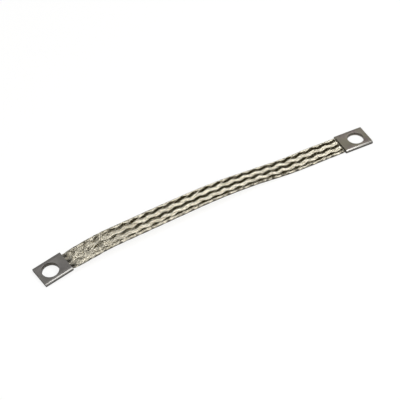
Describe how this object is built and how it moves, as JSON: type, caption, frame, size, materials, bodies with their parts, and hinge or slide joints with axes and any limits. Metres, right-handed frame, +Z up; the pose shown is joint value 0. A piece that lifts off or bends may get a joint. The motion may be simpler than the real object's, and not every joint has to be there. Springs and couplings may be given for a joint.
{
  "type": "grounding braid",
  "caption": "Flat woven tinned-copper grounding strap, gently bowed, with a pressed flat sleeve and a round bolt hole at each end.",
  "frame": {"origin": "centre of the strap's bounding box, on the surface that its two sleeves rest on", "axes": "+X along the strap from the raised sleeve to the flat-lying sleeve, +Y across it, +Z up"},
  "size_m": [0.2007, 0.015, 0.0077],
  "materials": {
    "tinned_wire": "bright drawn tin over copper, in fine parallel wires",
    "pressed_sleeve": "satin pressed tin plate, dull and a little stained"
  },
  "bodies": {
    "root": {"braid": "tinned_wire", "left_ferrule": "pressed_sleeve", "right_ferrule": "pressed_sleeve"}
  },
  "joints": []
}
